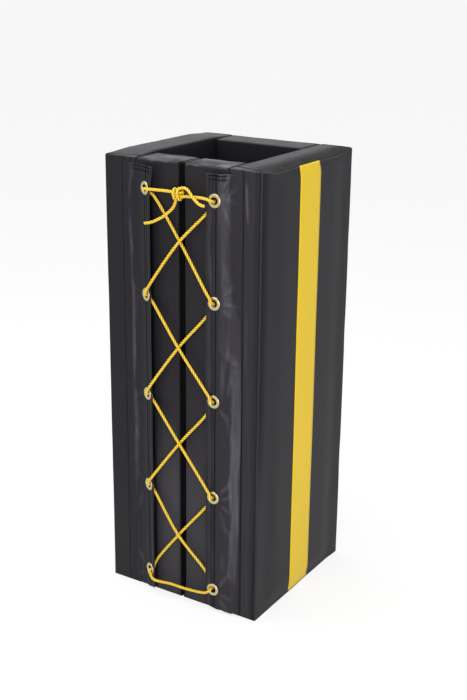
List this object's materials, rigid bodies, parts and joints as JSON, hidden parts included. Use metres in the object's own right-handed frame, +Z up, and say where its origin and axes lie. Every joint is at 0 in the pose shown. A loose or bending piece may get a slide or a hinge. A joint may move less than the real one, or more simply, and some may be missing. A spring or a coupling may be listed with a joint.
{
  "type": "column pad",
  "caption": "Padded guard that wraps a square-looking jacket of foam blocks round an upright column and laces shut at the front",
  "frame": {"origin": "On the floor under the middle of the pad's own box, the lace left out", "axes": "+Z up along the column, -Y out of the laced front, +X to the right for someone facing the lace"},
  "size_m": [0.4202, 0.4451, 1.067],
  "materials": {
    "vinyl": "fine-grained black coated fabric",
    "stripe": "smooth yellow coated fabric",
    "foam": "cream open-cell foam",
    "brass": "polished sheet brass",
    "rope": "yellow three-strand twisted rope"
  },
  "bodies": {
    "back": {"back_cover": "vinyl", "back_foam": "foam", "back_left_gusset": "vinyl", "back_right_gusset": "vinyl", "left_back_hinge_strip": "vinyl", "right_back_hinge_strip": "vinyl", "back_stripe": "stripe"},
    "left_side": {"left_side_cover": "vinyl", "left_side_foam": "foam", "left_side_front_gusset": "vinyl", "left_side_back_gusset": "vinyl", "left_front_hinge_strip": "vinyl", "left_lacing_flap": "vinyl", "left_stripe": "stripe", "left_eyelet_1": "brass", "left_washer_1": "brass", "left_eyelet_2": "brass", "left_washer_2": "brass", "left_eyelet_3": "brass", "left_washer_3": "brass", "left_eyelet_4": "brass", "left_washer_4": "brass", "left_eyelet_5": "brass", "left_washer_5": "brass"},
    "right_side": {"right_side_cover": "vinyl", "right_side_foam": "foam", "right_side_front_gusset": "vinyl", "right_side_back_gusset": "vinyl", "right_front_hinge_strip": "vinyl", "right_lacing_flap": "vinyl", "right_stripe": "stripe", "right_eyelet_1": "brass", "right_washer_1": "brass", "right_eyelet_2": "brass", "right_washer_2": "brass", "right_eyelet_3": "brass", "right_washer_3": "brass", "right_eyelet_4": "brass", "right_washer_4": "brass", "right_eyelet_5": "brass", "right_washer_5": "brass", "lace": "rope"},
    "left_front": {"left_front_cover": "vinyl", "left_front_foam": "foam", "left_front_inner_gusset": "vinyl", "left_front_outer_gusset": "vinyl"},
    "right_front": {"right_front_cover": "vinyl", "right_front_foam": "foam", "right_front_inner_gusset": "vinyl", "right_front_outer_gusset": "vinyl"}
  },
  "joints": [
    {"name": "right_side_hinge", "type": "hinge", "parent": "back", "child": "right_side", "pos_m": [0.124, 0.21512, 0], "axis": [0, 0, 1], "range_deg": [0, 90], "deforming": ["right_back_hinge_strip", "lace"]},
    {"name": "left_side_hinge", "type": "hinge", "parent": "back", "child": "left_side", "pos_m": [-0.124, 0.21512, 0], "axis": [0, 0, -1], "range_deg": [0, 90], "deforming": ["left_back_hinge_strip", "lace"]},
    {"name": "right_front_hinge", "type": "hinge", "parent": "right_side", "child": "right_front", "pos_m": [0.1232, -0.11438, 0], "axis": [0, 0, -1], "range_deg": [0, 90], "deforming": ["right_front_hinge_strip"]},
    {"name": "left_front_hinge", "type": "hinge", "parent": "left_side", "child": "left_front", "pos_m": [-0.1232, -0.11438, 0], "axis": [0, 0, 1], "range_deg": [0, 90], "deforming": ["left_front_hinge_strip"]}
  ],
  "couplings": [
    {"joint": "right_front_hinge", "follows": "right_side_hinge", "ratio": 1},
    {"joint": "left_front_hinge", "follows": "left_side_hinge", "ratio": 1}
  ]
}
